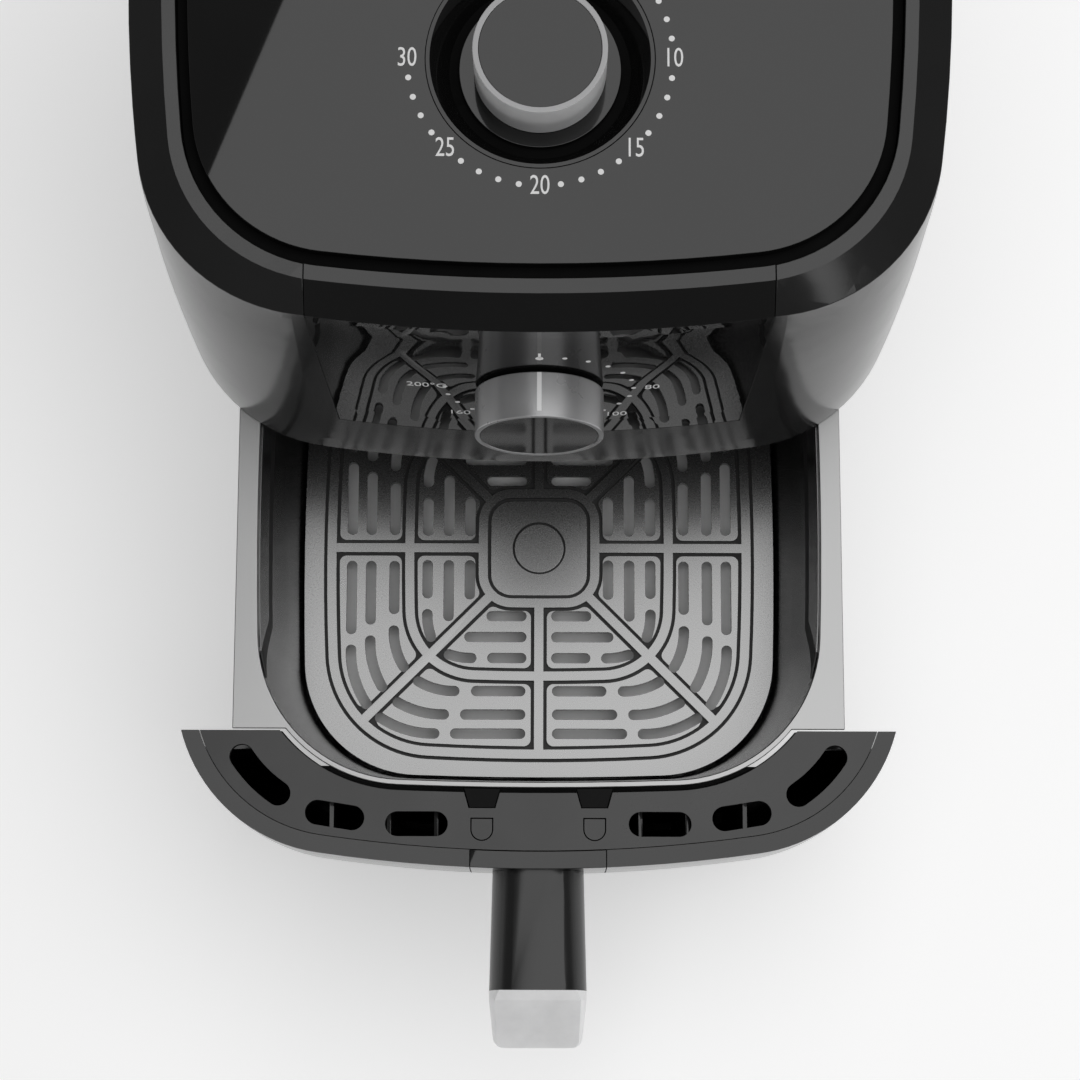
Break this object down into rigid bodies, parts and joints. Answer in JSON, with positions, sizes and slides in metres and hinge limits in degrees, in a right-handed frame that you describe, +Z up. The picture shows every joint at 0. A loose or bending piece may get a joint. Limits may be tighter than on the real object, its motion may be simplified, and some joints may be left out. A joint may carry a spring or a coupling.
{
  "type": "air fryer",
  "caption": "Rounded countertop air fryer with a pull-out drawer, bar handle, slotted crisper plate, timer dial on top and temperature dial in front.",
  "frame": {"origin": "on the table, under the middle of the whole object with its drawer out", "axes": "+X to the right seen from the front, +Y towards the back, +Z up; the drawer comes out along -Y"},
  "size_m": [0.3068, 0.5447, 0.3123],
  "materials": {
    "shell": "smooth satin black",
    "gloss": "high gloss black",
    "gloss_cup": "high gloss black",
    "dark_plastic": "moulded, fine texture",
    "shelf": "moulded, fine texture",
    "handle": "satin moulded",
    "pale_plastic": "moulded",
    "white_mark": "printed white",
    "rubber": "matt",
    "silicone": "matt",
    "screw_steel": "zinc plated",
    "liner_steel": "galvanised sheet",
    "element_steel": "heat-darkened tube",
    "motor_steel": "pressed steel",
    "fan_aluminium": "pressed sheet",
    "brass": "spun",
    "copper": "drawn tube",
    "silver": "satin silver",
    "pan_coating": "grey non-stick coating",
    "plate_coating": "grey non-stick coating"
  },
  "bodies": {
    "body": {"housing": "shell", "control_panel": "gloss", "top_deck": "dark_plastic", "top_panel": "gloss", "dial_cup": "gloss_cup", "niche_ceiling": "dark_plastic", "front_bulkhead": "dark_plastic", "base_cover": "dark_plastic", "feet": "rubber", "base_screws": "screw_steel", "rear_grille": "dark_plastic", "cord_gland": "rubber", "chamber_liner": "liner_steel", "chamber_roof": "liner_steel", "drawer_rails": "liner_steel", "heating_element": "element_steel", "element_brackets": "liner_steel", "element_guard": "liner_steel", "heat_shield": "liner_steel", "motor": "motor_steel", "motor_bracket": "liner_steel", "motor_screws": "screw_steel", "interlock_switch": "dark_plastic", "timer_unit": "motor_steel", "timer_bell": "brass", "thermostat_body": "pale_plastic", "thermostat_bulb": "copper", "thermal_cutout": "pale_plastic", "terminal_block": "pale_plastic"},
    "fan_rotor": {"fan_shaft": "screw_steel", "fan_impeller": "fan_aluminium", "cooling_fan": "dark_plastic"},
    "timer_dial": {"timer_skirt": "gloss_cup", "timer_knob": "dark_plastic", "timer_sleeve": "silver", "timer_cap": "gloss_cup", "timer_shaft": "screw_steel"},
    "temp_dial": {"temp_knob": "dark_plastic", "temp_sleeve": "silver", "temp_cap": "gloss_cup", "temp_pointer": "white_mark", "temp_shaft": "screw_steel"},
    "switch_plunger": {"interlock_plunger": "pale_plastic"},
    "drawer": {"drawer_front": "shell", "drawer_shelf": "shelf", "shelf_buttons": "shelf", "drawer_liner": "dark_plastic", "handle_mount": "shell", "handle_grip": "handle", "handle_under": "handle", "handle_cap": "silver", "handle_screws": "screw_steel", "pan_clips": "dark_plastic", "pan": "pan_coating"},
    "plate": {"crisper_plate": "plate_coating", "plate_bumpers": "silicone", "hub_disc": "plate_coating"}
  },
  "joints": [
    {"name": "drawer_slide", "type": "slide", "parent": "body", "child": "drawer", "axis": [0, -1, 0], "range_m": [-0.1664, 0.095]},
    {"name": "plate_lift", "type": "slide", "parent": "drawer", "child": "plate", "axis": [0, 0, 1], "range_m": [0, 0.08]},
    {"name": "timer_turn", "type": "hinge", "parent": "body", "child": "timer_dial", "pos_m": [0, 0.07745, 0.3], "axis": [0, 0, -1], "range_deg": [0, 270]},
    {"name": "temp_turn", "type": "hinge", "parent": "body", "child": "temp_dial", "pos_m": [0, -0.02905, 0.2335], "axis": [0, 0.9966, -0.0828], "range_deg": [0, 272]},
    {"name": "fan_spin", "type": "hinge", "parent": "body", "child": "fan_rotor", "pos_m": [0, 0.11385, 0.2], "axis": [0, 0, 1], "continuous": true},
    {"name": "plunger_press", "type": "slide", "parent": "body", "child": "switch_plunger", "axis": [0, 1, 0], "range_m": [0, 0.003], "stiffness_N_per_m": 120, "springref_m": -0.004}
  ]
}
